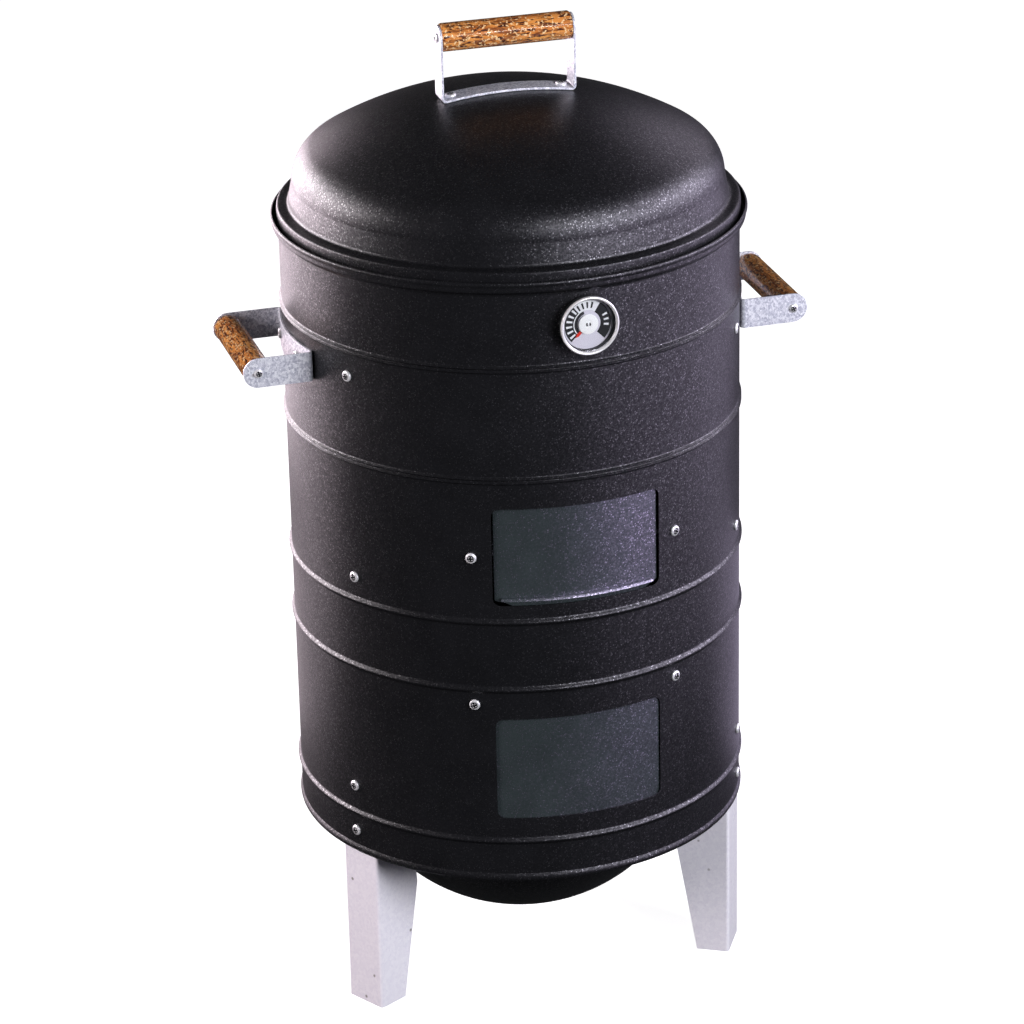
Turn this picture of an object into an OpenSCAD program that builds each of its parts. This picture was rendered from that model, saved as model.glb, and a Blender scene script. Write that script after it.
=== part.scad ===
// Upright charcoal water smoker: a round drum on three legs with a lift-off domed lid.
// Millimetres, +Z up, the doors face -Y. The origin is on the floor under the drum's axis.

/* [Drum] */
// Outer radius of the drum wall
body_r = 204; // [200:0.5:206]
// Thickness of the drum and lid sheet
sheet_t = 1; // [0.8:0.1:1.2]
// Height of the drum's lower rim above the floor
rim_z = 158; // [150:1:165]
// Height at which the lip starts to flare out
lip_z = 711; // [708:1:714]
// How far the rolled beads stand out
bead_h = 2.4; // [1.5:0.1:3]
// Height of one rolled bead along the wall
bead_w = 8; // [6:0.5:9]

/* [Lid] */
// Height of the lid's centre above the floor
lid_top_z = 830; // [820:1:840]
// Radius of the dome's broad curve
dome_r = 345; // [330:5:370]
// Radius of the rounded shoulder
shoulder_r = 36.7; // [30:0.1:40]
// Largest radius of the dome where the shoulder starts
dome_wall_r = 191; // [188:0.5:192]

/* [Doors] */
// Width of both door openings, across the front
door_w = 151.5; // [145:0.5:153]
// Bottom of the upper opening
upper_door_z = 426; // [424:1:430]
// Height of the upper opening
upper_door_h = 91; // [85:1:93]
// Bottom of the lower opening
lower_door_z = 220; // [219:1:224]
// Height of the lower opening
lower_door_h = 97; // [92:1:98]

/* [Handles] */
// Distance between the outer faces of a handle's two arms
handle_w = 122; // [118:1:124]
// Width of the side handles' strip
strip_w = 27; // [25:0.5:30]
// Width of the lid handle's strip
lid_strip_w = 22; // [20:0.5:24]
// Thickness of the handle strips
strip_t = 2; // [1.5:0.1:2.5]
// Radius of the wooden grips
grip_r = 12.5; // [11:0.5:13]
// Distance of the side grips' axes from the drum's axis
side_grip_x = 245.5; // [240:0.5:250]
// Height of the lid grip's axis above the floor
lid_grip_z = 882; // [875:1:890]

/* [Legs] */
// Angle of the two front legs from the front of the drum
leg_angle = 60; // [55:1:62]
// Width of the leg flange that is bolted to the wall
leg_flange_w = 41; // [38:1:44]
// Thickness of the leg sheet
leg_t = 1.5; // [1.2:0.1:2]

/* [Hidden] */

$fn = 96;
inner_r = body_r - sheet_t;                      // inside of the drum wall
bead_zs = [197.4, 345.5, 410.3, 543.1, 644.8];   // centres of the rolled beads
column_angles = [-leg_angle, leg_angle, 180];    // legs and grid supports
bolt_r = 2.5;                                    // machine bolts
bolt_hole_r = 2.7;
head_r = 4.9;
head_h = 2.8;
nut_r = 4.7;
nut_t = 3.6;
seat_gap = 0.06;                                 // under a head on the curved wall
cut = 40;                                        // length of a cutting tool through the wall

// Door bolts and hinges
hinge_angle = 26.9;
hinge_y = -179;
upper_hinge_z = upper_door_z + upper_door_h / 2 - 0.5;
lower_hinge_z = lower_door_z + lower_door_h + 14;
ear_x = 70.6;
ear_t = 1.2;
ear_r = 6;
door_t = 1;
pin_r = 2;
pin_clear = 0.06;
hinge_x = 82.2;
hinge_t = 1.5;
hinge_half_h = 9;
pin_len = 13.9;
upper_panel_r = 201.6;
upper_panel_angle = 21.7;
upper_lip_w = 4.4;                               // how far the upper door's lip stands out below
lower_panel_r = 202.2;
lower_panel_angle = 23.6;
door_corner_r = 5;

// Grid and pan supports
upper_support_z = 621;
lower_support_z = 432;
tab_r = inner_r - 0.6;                           // outer face of a flat tab inside the wall
support_w = 24;
support_t = 1.5;
ledge_r = 176;                                   // step between the grid ledge and the pan ledge
ledge_h = 16;
pan_ledge_h = 2;
pan_ledge_r = 160;
rest_gap = 0.3;                                  // under a grid or pan that can be lifted out
grid_r = 181;
grid_wire_r = 3;
bar_r = 2;
bar_pitch = 20;
grate_r = 124;
grate_wire_r = 2.5;
grate_pitch = 16;
grate_z = 108;

// Legs
leg_face_r = 200.5;
leg_top_z = 238;
leg_apex = 11;
leg_bolt_zs = [179, 224];
leg_bolt_turn = atan((leg_flange_w / 2 - leg_apex) / leg_face_r);   // to the middle of the flat flange
leg_bolt_angles = [-leg_angle - leg_bolt_turn, leg_angle + leg_bolt_turn, 180 - leg_bolt_turn];
leg_toe_r = 170;                                 // inner edge of the tapered flange at the floor
leg_knee = [150, 112];                           // [radius, height] where it is widest
leg_brow = [171, 192];                           // and where it meets the pan's seat
pan_seat_z = 201.2;

// Pans
bowl_r = 168;
bowl_centre_z = 214;
bowl_flat_z = 58;
bowl_rim_r = 180;
pan_t = 1;
water_pan_r = 172;
water_pan_depth = 78;
water_pan_t = 0.8;

// Handles
side_handle_z = 617;
bracket_gap = 0.3;                               // between a strip and the sheet that it is bolted to
base_bolt_y = 30;
lid_bolt_x = 50;
screw_r = 1.6;
pilot_r = 1.7;
screw_len = 24;
dome_centre_z = lid_top_z - dome_r;

// Thermometer
gauge_z = 683;
gauge_angle = 2.2;                               // a little right of the doors' centre
gauge_r = 26;
case_r = 24.4;
case_depth = 9;
dial_seat = 3;

BLACK = "#1b1a1e";
DOOR_GREY = "#333a3c";
ZINC = "#c9cbd0";
LEG_GREY = "#d8d6dc";
WOOD = "#b5622a";
CHROME = "#dfe2e6";
BOLT = "#d0d2d6";

// ---------- helpers ----------

// Direction of the path at point i, and the point's inward (left-hand) unit normal
function way(path, i) = path[min(i + 1, len(path) - 1)] - path[max(i - 1, 0)];
function left_of(v) = [-v[1], v[0]] / norm(v);
function moved(path, t) = [for (i = [0 : len(path) - 1]) path[i] + t * left_of(way(path, i))];
function turned_back(path) = [for (i = [len(path) - 1 : -1 : 0]) path[i]];
function on_axis(p) = [max(p[0], 0), p[1]];
function arc(centre, r, from, to, steps) =
    [for (i = [0 : steps]) let (a = from + (to - from) * i / steps) centre + r * [cos(a), sin(a)]];

// Sheet metal spun round the Z axis: path is its outer face as [radius, height], outside on the right
module spun_sheet(path, t) {
    rotate_extrude()
        polygon([for (p = concat(path, turned_back(moved(path, t)))) on_axis(p)]);
}

// Places children on the wall at an angle from the front, with their +Z pointing outward
module on_wall(angle, z, r) {
    rotate([0, 0, angle])
        translate([0, -r, z])
            rotate([90, 0, 0])
                children();
}

// Turns a flat [radius, height] outline into a plate of width w that stands radially
module radial_plate(angle, w) {
    rotate([0, 0, angle])
        rotate([90, 0, -90])
            linear_extrude(w, center = true)
                children();
}

// Pan-head bolt along Z, with its seat at z = 0 and a cross recess
module bolt(shank_r, length, r = head_r, h = head_h) {
    difference() {
        union() {
            rotate_extrude($fn = 32)
                polygon(concat([[0, 0], [r, 0]],
                    [for (a = [20 : 14 : 90]) [r * cos(a), h * (0.25 + 0.75 * sin(a))]]));
            translate([0, 0, -length])
                cylinder(r = shank_r, h = length + 0.1, $fn = 24);
        }
        for (a = [0, 90])
            rotate([0, 0, a + 20])
                translate([-r * 0.55, -r * 0.11, h * 0.45])
                    cube([r * 1.1, r * 0.22, h]);
    }
}

// Hexagon nut along Z, its seat at z = 0 and its body below
module nut(hole_r, r = nut_r, t = nut_t) {
    translate([0, 0, -t])
        difference() {
            cylinder(r = r, h = t, $fn = 6);
            translate([0, 0, -1])
                cylinder(r = hole_r, h = t + 2, $fn = 24);
        }
}

// Rounded rectangle centred on the origin
module rounded_rect(w, h, r) {
    square([w - 2 * r, h], center = true);
    square([w, h - 2 * r], center = true);
    for (x = [-1, 1], y = [-1, 1])
        translate([x * (w / 2 - r), y * (h / 2 - r)])
            circle(r, $fn = 32);
}

// ---------- drum ----------

// Outline of one rolled bead centred at height z
function bead(z) =
    [for (a = [-1 : 0.25 : 1]) [body_r + bead_h * (1 + cos(180 * a)) / 2, z + a * bead_w / 2]];

function drum_path() = concat(
    [[body_r + 0.7, rim_z], [body_r + 1.7, rim_z + 1.5], [body_r + 1.7, rim_z + 4], [body_r, rim_z + 7]],
    [for (z = bead_zs) each bead(z)],
    [[body_r, lip_z], [body_r + 0.7, lip_z + 2], [body_r + 2.4, lip_z + 3.4], [body_r + 4.6, lip_z + 4.2]],
    [[body_r + 5.7, lip_z + 5.4], [body_r + 5.8, lip_z + 9.5]],
    [[body_r + 6.6, lip_z + 10.6], [body_r + 6.9, lip_z + 12], [body_r + 6.4, lip_z + 13.4]],
    [[body_r + 5.2, lip_z + 14]]);

module door_cut(z, h) {
    translate([0, -body_r, z + h / 2])
        rotate([90, 0, 0])
            linear_extrude(cut, center = true)
                rounded_rect(door_w, h, 7);
}

module wall_hole(angle, z, r) {
    on_wall(angle, z, body_r)
        cylinder(r = r, h = cut / 2, center = true, $fn = 24);
}

// Angles of the two bolts that hold a side handle
function base_bolt_angles(side) = [for (s = [-1, 1]) side * 90 + s * asin(base_bolt_y / body_r)];

module body_shell() {
    color(BLACK)
        difference() {
            spun_sheet(drum_path(), sheet_t);
            door_cut(upper_door_z, upper_door_h);
            door_cut(lower_door_z, lower_door_h);
            for (s = [-1, 1], z = [upper_hinge_z, lower_hinge_z])
                wall_hole(s * hinge_angle, z, bolt_hole_r);
            for (a = leg_bolt_angles, z = leg_bolt_zs)
                wall_hole(a, z, bolt_hole_r);
            for (a = column_angles, z = [lower_support_z, upper_support_z])
                wall_hole(a, z, bolt_hole_r);
            for (s = [-1, 1], a = base_bolt_angles(s))
                wall_hole(a, side_handle_z, bolt_hole_r);
            wall_hole(gauge_angle, gauge_z, 4.2);
        }
}

// ---------- lid ----------

dome_meet = asin((dome_wall_r - shoulder_r) / (dome_r - shoulder_r));   // where dome and shoulder meet
shoulder_centre = [dome_wall_r - shoulder_r, dome_centre_z + (dome_r - shoulder_r) * cos(dome_meet)];

function lid_path() = concat(
    [[body_r + 1, lip_z + 5.2], [body_r + 1, lip_z + 19.4], [body_r + 0.3, lip_z + 21]],
    [[body_r - 1.4, lip_z + 21.6], [body_r - 7.6, lip_z + 22], [body_r - 9.2, lip_z + 22.8]],
    [[body_r - 10, lip_z + 24.8], [dome_wall_r + 2.4, lip_z + 29]],
    arc(shoulder_centre, shoulder_r, 0, 90 - dome_meet, 10),
    [for (i = [10 : -1 : 0]) let (a = dome_meet * i / 11) [0, dome_centre_z] + dome_r * [sin(a), cos(a)]]);

// Places children on the dome at a distance x from the centre, with their +Z square to the sheet
module on_dome(x) {
    translate([0, 0, dome_centre_z])
        rotate([0, asin(x / dome_r), 0])
            translate([0, 0, dome_r])
                children();
}

module lid_shell() {
    color(BLACK)
        difference() {
            spun_sheet(lid_path(), sheet_t);
            for (s = [-1, 1])
                on_dome(s * lid_bolt_x)
                    cylinder(r = bolt_hole_r, h = cut / 2, center = true, $fn = 24);
        }
}

// ---------- handles ----------

// One arm of a handle: a plate w wide along +X with a round end and a screw hole, its outer face
// at y = handle_w / 2
module arm(from, to, w) {
    translate([0, handle_w / 2, 0])
        rotate([90, 0, 0])
            linear_extrude(strip_t)
                difference() {
                    union() {
                        translate([from, -w / 2])
                            square([to - from, w]);
                        translate([to, 0])
                            circle(w / 2, $fn = 64);
                    }
                    translate([to, 0])
                        circle(screw_r + 0.3, $fn = 24);
                }
}

// Grip along Y with rounded rims and a pilot hole in each end
module grip() {
    half = handle_w / 2 - strip_t - 0.2;
    rim = 2;
    profile = concat([[0, -half]], arc([grip_r - rim, -half + rim], rim, -90, 0, 5),
        arc([grip_r - rim, half - rim], rim, 0, 90, 5), [[0, half]]);
    color(WOOD)
        rotate([-90, 0, 0])
            difference() {
                rotate_extrude($fn = 64)
                    polygon(profile);
                for (s = [-1, 1])
                    translate([0, 0, s * half])
                        cylinder(r = pilot_r, h = 2 * screw_len + 2, center = true, $fn = 24);
            }
}

module grip_screws() {
    color(BOLT)
        for (s = [-1, 1])
            rotate([-90 * s, 0, 0])
                translate([0, 0, handle_w / 2 + 0.02])
                    bolt(screw_r, screw_len, 4.2, 2.4);
}

// Side handle strip on the +X side: a curved base on the wall and two arms
module side_bracket() {
    base_r = body_r + bracket_gap;
    color(ZINC)
        translate([0, 0, side_handle_z])
            difference() {
                union() {
                    intersection() {
                        cylinder(r = base_r + strip_t, h = strip_w, center = true);
                        translate([0, -handle_w / 2, -strip_w])
                            cube([side_grip_x, handle_w, 2 * strip_w]);
                    }
                    for (s = [0, 1])
                        mirror([0, s, 0])
                            arm(body_r - 12, side_grip_x, strip_w);
                }
                cylinder(r = base_r, h = 2 * strip_w, center = true);
                for (a = base_bolt_angles(1))
                    rotate([0, 0, a])
                        translate([0, -base_r, 0])
                            rotate([90, 0, 0])
                                cylinder(r = bolt_hole_r, h = cut / 2, center = true, $fn = 24);
            }
}

module side_bolts(side) {
    color(BOLT)
        for (a = base_bolt_angles(side))
            on_wall(a, side_handle_z, body_r + bracket_gap + strip_t + seat_gap)
                bolt(bolt_r, 10);
}

module side_nuts(side) {
    color(BOLT)
        for (a = base_bolt_angles(side))
            on_wall(a, side_handle_z, inner_r - 0.2)
                nut(bolt_r + 0.05);
}

// The left handle is the right one turned half round the drum
module turned(side) {
    rotate([0, 0, side > 0 ? 0 : 180])
        children();
}

module at_side_grip() {
    translate([side_grip_x, 0, side_handle_z])
        children();
}

module right_handle_bracket() { side_bracket(); }
module right_handle_grip() { at_side_grip() grip(); }
module right_grip_screws() { at_side_grip() grip_screws(); }
module right_bracket_bolts() { side_bolts(1); }
module right_bracket_nuts() { side_nuts(1); }
module left_handle_bracket() { turned(-1) side_bracket(); }
module left_handle_grip() { turned(-1) at_side_grip() grip(); }
module left_grip_screws() { turned(-1) at_side_grip() grip_screws(); }
module left_bracket_bolts() { side_bolts(-1); }
module left_bracket_nuts() { side_nuts(-1); }

// Lid handle: the strip follows the dome from left to right, and its arms stand upright
module lid_handle_bracket() {
    base_r = dome_r + bracket_gap;
    color(ZINC)
        difference() {
            union() {
                intersection() {
                    translate([0, 0, dome_centre_z])
                        rotate([90, 0, 0])
                            cylinder(r = base_r + strip_t, h = lid_strip_w, center = true, $fn = 200);
                    translate([-handle_w / 2, -lid_strip_w, lid_top_z - 20])
                        cube([handle_w, 2 * lid_strip_w, 40]);
                }
                for (s = [0, 1])
                    mirror([s, 0, 0])
                        rotate([0, -90, -90])
                            arm(lid_top_z - 12, lid_grip_z, lid_strip_w);
            }
            translate([0, 0, dome_centre_z])
                rotate([90, 0, 0])
                    cylinder(r = base_r, h = 4 * lid_strip_w, center = true, $fn = 200);
            for (s = [-1, 1])
                on_dome(s * lid_bolt_x)
                    cylinder(r = bolt_hole_r, h = cut / 2, center = true, $fn = 24);
        }
}

module at_lid_grip() {
    translate([0, 0, lid_grip_z])
        rotate([0, 0, -90])
            children();
}

module lid_handle_grip() { at_lid_grip() grip(); }
module lid_grip_screws() { at_lid_grip() grip_screws(); }

module lid_bracket_bolts() {
    color(BOLT)
        for (s = [-1, 1])
            on_dome(s * lid_bolt_x)
                translate([0, 0, bracket_gap + strip_t + 0.02])
                    bolt(bolt_r, 10);
}

module lid_bracket_nuts() {
    color(BOLT)
        for (s = [-1, 1])
            on_dome(s * lid_bolt_x)
                translate([0, 0, -sheet_t - 0.3])
                    nut(bolt_r + 0.05);
}

// ---------- doors ----------

// Curved door panel with its outer face at radius r, rounded corners, between two heights
module door_panel(r, half_angle, bottom, top) {
    intersection() {
        rotate([0, 0, -90 - half_angle])
            rotate_extrude(angle = 2 * half_angle)
                translate([r - door_t, bottom])
                    square([door_t, top - bottom]);
        translate([0, -r, (bottom + top) / 2])
            rotate([90, 0, 0])
                linear_extrude(2 * cut, center = true)
                    rounded_rect(2 * r * sin(half_angle), top - bottom, door_corner_r);
    }
}

// Hinge ears inside a panel of radius r: plates across X that join the panel between two heights
// and run to the pins
module door_ears(hinge_z, r, foot_z, top_z) {
    front_y = 0.2 - sqrt(r * r - pow(ear_x + ear_t, 2));
    for (s = [0, 1])
        mirror([s, 0, 0])
            translate([ear_x, 0, 0])
                rotate([90, 0, 90])
                    linear_extrude(ear_t)
                        difference() {
                            union() {
                                translate([front_y, foot_z])
                                    square([hinge_y - front_y, top_z - foot_z]);
                                translate([hinge_y - ear_r, foot_z])
                                    square([2 * ear_r, hinge_z - foot_z]);
                                translate([hinge_y, hinge_z])
                                    circle(ear_r, $fn = 32);
                            }
                            translate([hinge_y, hinge_z])
                                circle(pin_r + 0.02, $fn = 32);
                        }
}

// Pins through the ears, with a head on the inside and a free end in the hinge plate
module door_pins(hinge_z) {
    color(BOLT)
        for (s = [0, 1])
            mirror([s, 0, 0])
                translate([ear_x - 1.6, hinge_y, hinge_z])
                    rotate([0, 90, 0]) {
                        cylinder(r = 3.6, h = 1.5, $fn = 32);
                        translate([0, 0, 1.4])
                            cylinder(r = pin_r, h = pin_len, $fn = 32);
                    }
}

module upper_door() {
    bottom = upper_door_z + 6;
    color(DOOR_GREY)
        union() {
            door_panel(upper_panel_r, upper_panel_angle, bottom, upper_door_z + upper_door_h + 4);
            rotate([0, 0, -90 - upper_panel_angle + 2])
                rotate_extrude(angle = 2 * upper_panel_angle - 4)
                    translate([upper_panel_r - door_t, bottom - 0.2])
                        square([door_t + upper_lip_w, door_t + 0.2]);
            door_ears(upper_hinge_z, upper_panel_r, upper_hinge_z - 9, upper_hinge_z + ear_r);
        }
}

module lower_door() {
    color(DOOR_GREY)
        union() {
            door_panel(lower_panel_r, lower_panel_angle, lower_door_z - 6,
                lower_door_z + lower_door_h + 2.5);
            door_ears(lower_hinge_z, lower_panel_r, lower_hinge_z - 28, lower_hinge_z - 12);
        }
}

module upper_door_pins() { door_pins(upper_hinge_z); }
module lower_door_pins() { door_pins(lower_hinge_z); }

// Hinge plate: a tab bolted inside the wall and a leaf across X that holds the pin
module hinge_plate(side, z) {
    color(ZINC)
        mirror([side > 0 ? 0 : 1, 0, 0])
            difference() {
                union() {
                    on_wall(hinge_angle, z, tab_r)
                        translate([-9.6, -hinge_half_h, -hinge_t])
                            cube([18.6, 2 * hinge_half_h, hinge_t]);
                    translate([hinge_x, hinge_y - 5, z - hinge_half_h])
                        cube([hinge_t, 12, 2 * hinge_half_h]);
                }
                on_wall(hinge_angle, z, tab_r)
                    cylinder(r = bolt_hole_r, h = cut / 4, center = true, $fn = 24);
                translate([hinge_x - 1, hinge_y, z])
                    rotate([0, 90, 0])
                        cylinder(r = pin_r + pin_clear, h = 4, $fn = 32);
            }
}

module upper_hinge_left() { hinge_plate(-1, upper_hinge_z); }
module upper_hinge_right() { hinge_plate(1, upper_hinge_z); }
module lower_hinge_left() { hinge_plate(-1, lower_hinge_z); }
module lower_hinge_right() { hinge_plate(1, lower_hinge_z); }

module door_bolts() {
    color(BOLT)
        for (s = [-1, 1], z = [upper_hinge_z, lower_hinge_z])
            on_wall(s * hinge_angle, z, body_r + seat_gap)
                bolt(bolt_r, 9);
}

module door_nuts() {
    color(BOLT)
        for (s = [-1, 1], z = [upper_hinge_z, lower_hinge_z])
            on_wall(s * hinge_angle, z, tab_r - hinge_t - 0.05)
                nut(bolt_r + 0.05);
}

// ---------- legs ----------

// Angle-section leg. The flat flange is bolted inside the wall, the tapered flange runs inward
// at the side that hand names, and its top carries the charcoal pan.
module leg(angle, hand) {
    color(LEG_GREY)
        difference() {
            union() {
                rotate([0, 0, angle])
                    translate([hand > 0 ? leg_apex - leg_flange_w : -leg_apex, -leg_face_r, 0])
                        cube([leg_flange_w, leg_t, leg_top_z]);
                rotate([0, 0, angle])
                    translate([hand * (leg_apex - leg_t / 2), 0, 0])
                        radial_plate(0, leg_t)
                            polygon([
                                [leg_face_r, 0], [leg_toe_r, 0], leg_knee, leg_knee + [1, 10],
                                leg_knee + [10, 38], leg_brow - [4, 12], leg_brow,
                                [leg_brow[0], pan_seat_z], [leg_face_r, pan_seat_z]
                            ]);
            }
            for (z = leg_bolt_zs)
                wall_hole(angle - hand * leg_bolt_turn, z, bolt_hole_r);
        }
}

module leg_left() { leg(-leg_angle, 1); }
module leg_right() { leg(leg_angle, -1); }
module leg_rear() { leg(180, 1); }

module leg_bolts() {
    color(BOLT)
        for (a = leg_bolt_angles, z = leg_bolt_zs)
            on_wall(a, z, body_r + seat_gap)
                bolt(bolt_r, 11);
}

module leg_nuts() {
    color(BOLT)
        for (a = leg_bolt_angles, z = leg_bolt_zs)
            on_wall(a, z, leg_face_r - leg_t - 0.1)
                nut(bolt_r + 0.05);
}

// ---------- supports, grids and pans ----------

// Stepped support: a tab on the wall, a high ledge for a grid and a low ledge for a pan
module support(angle, z) {
    t = support_t;
    high = z + ledge_h;
    low = z + pan_ledge_h;
    color(ZINC)
        difference() {
            radial_plate(angle, support_w)
                polygon([
                    [tab_r, z - 12], [tab_r, high], [ledge_r - t, high], [ledge_r - t, low],
                    [pan_ledge_r - t, low], [pan_ledge_r - t, low - 6], [pan_ledge_r, low - 6],
                    [pan_ledge_r, low - t], [ledge_r, low - t], [ledge_r, high - t],
                    [tab_r - t, high - t], [tab_r - t, z - 12]
                ]);
            wall_hole(angle, z, bolt_hole_r);
        }
}

module upper_support_left() { support(-leg_angle, upper_support_z); }
module upper_support_right() { support(leg_angle, upper_support_z); }
module upper_support_rear() { support(180, upper_support_z); }
module lower_support_left() { support(-leg_angle, lower_support_z); }
module lower_support_right() { support(leg_angle, lower_support_z); }
module lower_support_rear() { support(180, lower_support_z); }

module support_bolts() {
    color(BOLT)
        for (a = column_angles, z = [lower_support_z, upper_support_z])
            on_wall(a, z, body_r + seat_gap)
                bolt(bolt_r, 9);
}

module support_nuts() {
    color(BOLT)
        for (a = column_angles, z = [lower_support_z, upper_support_z])
            on_wall(a, z, tab_r - support_t - 0.05)
                nut(bolt_r + 0.05);
}

// Straight wire along Z, centred on the origin
module wire(length) {
    cylinder(r = bar_r, h = length, center = true, $fn = 16);
}

// Round wire grid: a rim ring, parallel bars and two cross wires underneath
module wire_grid(ring_r, wire_r, pitch, z) {
    reach = ring_r - pitch / 2;
    cross_x = ring_r / 2;
    color(CHROME)
        translate([0, 0, z])
            union() {
                rotate_extrude()
                    translate([ring_r, 0])
                        circle(wire_r, $fn = 24);
                for (y = [-pitch * floor(reach / pitch) : pitch : reach])
                    translate([0, y, 0])
                        rotate([0, 90, 0])
                            wire(2 * sqrt(ring_r * ring_r - y * y));
                for (x = [-cross_x, cross_x])
                    translate([x, 0, -2 * bar_r + 1])
                        rotate([90, 0, 0])
                            wire(2 * sqrt(ring_r * ring_r - cross_x * cross_x) - 2);
            }
}

// A cooking grid on the ledges of the supports at height z
module cooking_grid(z) {
    wire_grid(grid_r, grid_wire_r, bar_pitch, z + ledge_h + rest_gap + grid_wire_r);
}

module upper_grid() { cooking_grid(upper_support_z); }
module lower_grid() { cooking_grid(lower_support_z); }

// Outline of a pan's rolled rim of radius r that rests at the height seat
function rolled_rim(r, seat) =
    [[r - 2.5, seat], [r - 0.6, seat + 0.8], [r, seat + 2.4], [r - 0.6, seat + 4], [r - 2.2, seat + 4.6]];

// Water pan: straight tapered sides and a rolled rim that rests on the lower supports
module water_pan() {
    seat = lower_support_z + pan_ledge_h + rest_gap;
    bottom = seat - water_pan_depth;
    foot = [water_pan_r - 27, bottom + 7];
    neck = [water_pan_r - 17, seat - 4];
    color(BLACK)
        spun_sheet(concat(
            [[0, bottom], foot - [11, 7], foot - [4, 5], foot, neck, neck + [2, 3], neck + [3.5, 4.1]],
            rolled_rim(water_pan_r, seat)), water_pan_t);
}

// Charcoal pan: a deep round bowl with a flat bottom and a rolled rim that rests on the legs
module charcoal_pan() {
    flat_angle = acos((bowl_centre_z - bowl_flat_z) / bowl_r);
    rim_angle = 86;
    seat = pan_seat_z + rest_gap;
    color(BLACK)
        spun_sheet(concat(
            [[0, bowl_flat_z], [bowl_r * sin(flat_angle) - 4, bowl_flat_z]],
            arc([0, bowl_centre_z], bowl_r, flat_angle - 89, rim_angle - 90, 18),
            [[bowl_r + 2, seat + 0.1]], rolled_rim(bowl_rim_r, seat)), pan_t);
}

module charcoal_grate() { wire_grid(grate_r, grate_wire_r, grate_pitch, grate_z); }

// ---------- thermometer ----------

module gauge() {
    on_wall(gauge_angle, gauge_z, body_r)
        children();
}

module thermometer_case() {
    color(CHROME)
        gauge()
            difference() {
                translate([0, 0, 0.2])
                    cylinder(r = case_r, h = case_depth);
                translate([0, 0, 1.4])
                    cylinder(r = case_r - 1.2, h = case_depth);
                cylinder(r = 4.1, h = 5, center = true, $fn = 32);
            }
}

module thermometer_dial() {
    color("white")
        gauge()
            translate([0, 0, dial_seat])
                difference() {
                    cylinder(r = case_r - 1.3, h = 0.6);
                    cylinder(r = 1.55, h = 3, center = true, $fn = 32);
                }
}

// Pointer along -Y of the dial at rest, on the cold side; its bore runs on the hub's post
module thermometer_pointer() {
    color("red")
        gauge()
            translate([0, 0, dial_seat + 0.9])
                rotate([0, 0, -45])
                    linear_extrude(0.5)
                        difference() {
                            union() {
                                circle(4, $fn = 32);
                                polygon([[-1.4, 0], [-1.2, -15], [0, -16], [1.2, -15], [1.4, 0]]);
                            }
                            circle(1.56, $fn = 32);
                        }
}

module thermometer_hub() {
    color(CHROME)
        gauge() {
            translate([0, 0, dial_seat])
                cylinder(r = 1.5, h = 2, $fn = 32);
            translate([0, 0, dial_seat + 1.8])
                difference() {
                    cylinder(r = 9.6, h = 0.8, $fn = 64);
                    rotate_extrude(angle = 100, $fn = 64)
                        translate([6.6, -1])
                            square([1.2, 3]);
                }
        }
}

module thermometer_lens() {
    color([0.8, 0.9, 1, 0.3])
        gauge()
            translate([0, 0, case_depth - 1.2])
                cylinder(r = case_r - 1.4, h = 1.2);
}

module thermometer_bezel() {
    color(CHROME)
        gauge()
            rotate_extrude()
                polygon(concat([[case_r + 0.1, 3], [case_r + 1, 3], [gauge_r - 0.4, 4]],
                    arc([gauge_r - 1.8, 9.6], 1.8, 0, 170, 8),
                    [[22.3, 9.4], [case_r + 0.1, 9.4]]));
}

module thermometer_stem() {
    color(CHROME)
        gauge() {
            translate([0, 0, -11])
                cylinder(r = 4, h = 12.8, $fn = 32);
            translate([0, 0, -16])
                cylinder(r = 2.4, h = 6, $fn = 32);
        }
}

module thermometer_nut() {
    color(BOLT)
        gauge()
            translate([0, 0, -sheet_t - 0.3])
                nut(4.05, 8, 4);
}

body_shell();
lid_shell();
lid_handle_bracket();
lid_handle_grip();
lid_grip_screws();
lid_bracket_bolts();
lid_bracket_nuts();
left_handle_bracket();
left_handle_grip();
left_grip_screws();
left_bracket_bolts();
left_bracket_nuts();
right_handle_bracket();
right_handle_grip();
right_grip_screws();
right_bracket_bolts();
right_bracket_nuts();
upper_door();
upper_door_pins();
upper_hinge_left();
upper_hinge_right();
lower_door();
lower_door_pins();
lower_hinge_left();
lower_hinge_right();
door_bolts();
door_nuts();
leg_left();
leg_right();
leg_rear();
leg_bolts();
leg_nuts();
upper_support_left();
upper_support_right();
upper_support_rear();
lower_support_left();
lower_support_right();
lower_support_rear();
support_bolts();
support_nuts();
upper_grid();
lower_grid();
water_pan();
charcoal_pan();
charcoal_grate();
thermometer_case();
thermometer_dial();
thermometer_pointer();
thermometer_hub();
thermometer_lens();
thermometer_bezel();
thermometer_stem();
thermometer_nut();
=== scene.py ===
"""Looks of an upright charcoal water smoker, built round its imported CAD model.

Metres, +Z up, the doors face -Y. Every visible piece takes its place from the box or the solids of the CAD
node that it stands for, so the two models stay the same size.
"""

import math

import bmesh
import bpy
from mathutils import Matrix, Vector


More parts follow.
